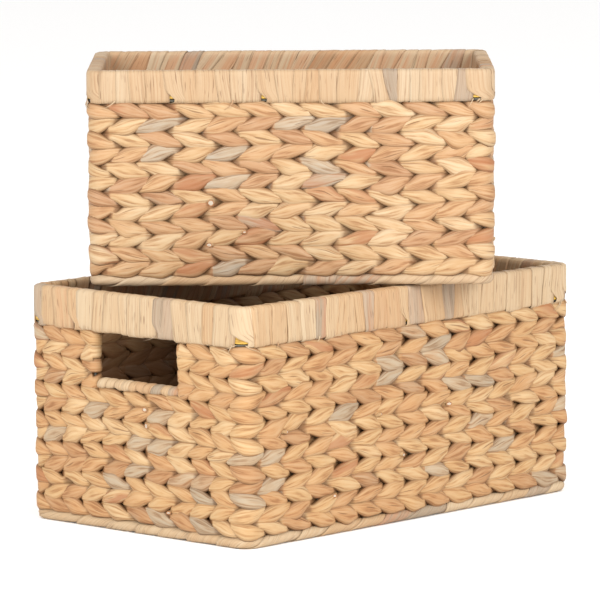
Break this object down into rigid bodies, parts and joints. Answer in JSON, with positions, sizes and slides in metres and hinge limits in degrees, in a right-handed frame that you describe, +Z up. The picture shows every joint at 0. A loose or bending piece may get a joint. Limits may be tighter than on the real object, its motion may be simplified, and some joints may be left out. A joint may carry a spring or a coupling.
{
  "type": "stacked storage basket pair",
  "caption": "Two rectangular herringbone-twined baskets of water hyacinth on wire frames, with wrapped rims and end grip holes, the smaller standing crosswise on the larger like a lid.",
  "frame": {"origin": "centre of the large basket's underside, on the surface that it stands on", "axes": "+X along the large basket's long side, +Y across it, +Z up; the small basket stands on the large rim, turned -46.8 degrees about +Z"},
  "size_m": [0.42, 0.39, 0.3888],
  "materials": {
    "hyacinth_strand": "dried water hyacinth stem, flattened and twined, satin",
    "leaf_wrap": "dried water hyacinth leaf strip, wound, satin",
    "border_wrap": "dried water hyacinth strip, wound round a rod, satin",
    "yellow_cane": "yellow split cane, satin",
    "frame_wire": "dark painted steel wire, satin"
  },
  "bodies": {
    "large_basket": {"large_top_rim_wire": "frame_wire", "large_low_rim_wire": "frame_wire", "large_base_wire": "frame_wire", "large_corner_posts": "frame_wire", "large_wall_stakes": "frame_wire", "large_floor_rods": "frame_wire", "large_grip_rods": "yellow_cane", "large_rim_padding": "yellow_cane", "large_rim_wrap": "leaf_wrap", "large_border_wrap": "border_wrap", "large_grip_wraps": "border_wrap", "large_floor_weave": "hyacinth_strand", "large_course_01": "hyacinth_strand", "large_course_02": "hyacinth_strand", "large_course_03": "hyacinth_strand", "large_course_04": "hyacinth_strand", "large_course_05": "hyacinth_strand", "large_course_06": "hyacinth_strand", "large_course_07": "hyacinth_strand", "large_course_08": "hyacinth_strand", "large_course_09": "hyacinth_strand", "large_course_10": "hyacinth_strand", "large_course_11": "hyacinth_strand", "large_course_12": "hyacinth_strand", "large_course_13": "hyacinth_strand"},
    "small_basket": {"small_top_rim_wire": "frame_wire", "small_low_rim_wire": "frame_wire", "small_base_wire": "frame_wire", "small_corner_posts": "frame_wire", "small_wall_stakes": "frame_wire", "small_floor_rods": "frame_wire", "small_grip_rods": "yellow_cane", "small_rim_padding": "yellow_cane", "small_rim_wrap": "leaf_wrap", "small_border_wrap": "border_wrap", "small_grip_wraps": "border_wrap", "small_floor_weave": "hyacinth_strand", "small_course_01": "hyacinth_strand", "small_course_02": "hyacinth_strand", "small_course_03": "hyacinth_strand", "small_course_04": "hyacinth_strand", "small_course_05": "hyacinth_strand", "small_course_06": "hyacinth_strand", "small_course_07": "hyacinth_strand", "small_course_08": "hyacinth_strand", "small_course_09": "hyacinth_strand", "small_course_10": "hyacinth_strand", "small_course_11": "hyacinth_strand", "small_course_12": "hyacinth_strand"}
  },
  "joints": [
    {"name": "small_basket_lift", "type": "slide", "parent": "large_basket", "child": "small_basket", "axis": [0, 0, 1], "range_m": [0, 0.12]}
  ]
}
